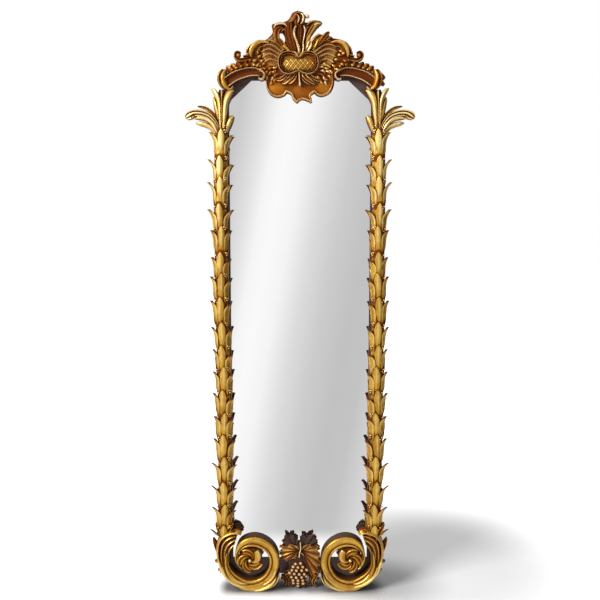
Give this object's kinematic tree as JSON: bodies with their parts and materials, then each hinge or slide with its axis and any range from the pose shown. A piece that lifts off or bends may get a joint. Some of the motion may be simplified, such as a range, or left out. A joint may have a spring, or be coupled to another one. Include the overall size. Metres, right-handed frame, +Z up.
{
  "type": "pier mirror",
  "caption": "Tall floor-standing pier mirror with palm-trunk side columns, scroll feet, a vine and grapes at the base, and a shell crest, in gilded carved wood.",
  "frame": {"origin": "on the floor, at the middle of the width and of the depth", "axes": "+X to the viewer's right along the width, +Y backwards to the wall, +Z up"},
  "size_m": [0.8188, 0.1006, 2.1006],
  "materials": {
    "gilt": "bright burnished gold leaf over red-brown bole",
    "antique_gilt": "darker rubbed gold leaf over red-brown bole",
    "crest_ground": "red-brown bole with little gold left",
    "frame_wood": "very dark brown stain",
    "back_board": "plain unfinished board",
    "looking_glass": "silvered plate glass",
    "hanger_steel": "zinc plated"
  },
  "bodies": {
    "frame": {"left_column": "gilt", "right_column": "gilt", "left_capital": "gilt", "right_capital": "gilt", "left_scroll": "gilt", "right_scroll": "gilt", "left_rosette": "gilt", "right_rosette": "gilt", "left_foot_leaf": "gilt", "right_foot_leaf": "gilt", "left_shoulder_leaf": "gilt", "right_shoulder_leaf": "gilt", "lattice_cushion": "gilt", "vine_leaves": "antique_gilt", "grape_cluster": "antique_gilt", "left_arm": "antique_gilt", "right_arm": "antique_gilt", "left_cresting": "antique_gilt", "right_cresting": "antique_gilt", "left_shell": "antique_gilt", "right_shell": "antique_gilt", "plume": "antique_gilt", "cartouche_frame": "antique_gilt", "apron_acanthus": "antique_gilt", "crest_board": "crest_ground", "crest_apron": "crest_ground", "left_stile": "frame_wood", "right_stile": "frame_wood", "top_rail": "frame_wood", "bottom_rail": "frame_wood", "back_board": "back_board", "mirror_glass": "looking_glass", "back_screws": "hanger_steel", "left_hanger_strap": "hanger_steel", "right_hanger_strap": "hanger_steel", "hanger_screws": "hanger_steel"},
    "left_ring": {"left_hanger_ring": "hanger_steel"},
    "right_ring": {"right_hanger_ring": "hanger_steel"}
  },
  "joints": [
    {"name": "left_ring_hinge", "type": "hinge", "parent": "frame", "child": "left_ring", "pos_m": [-0.288, 0.04848, 1.512], "axis": [1, 0, 0], "range_deg": [0, 180]},
    {"name": "right_ring_hinge", "type": "hinge", "parent": "frame", "child": "right_ring", "pos_m": [0.288, 0.04848, 1.512], "axis": [1, 0, 0], "range_deg": [0, 180]}
  ]
}
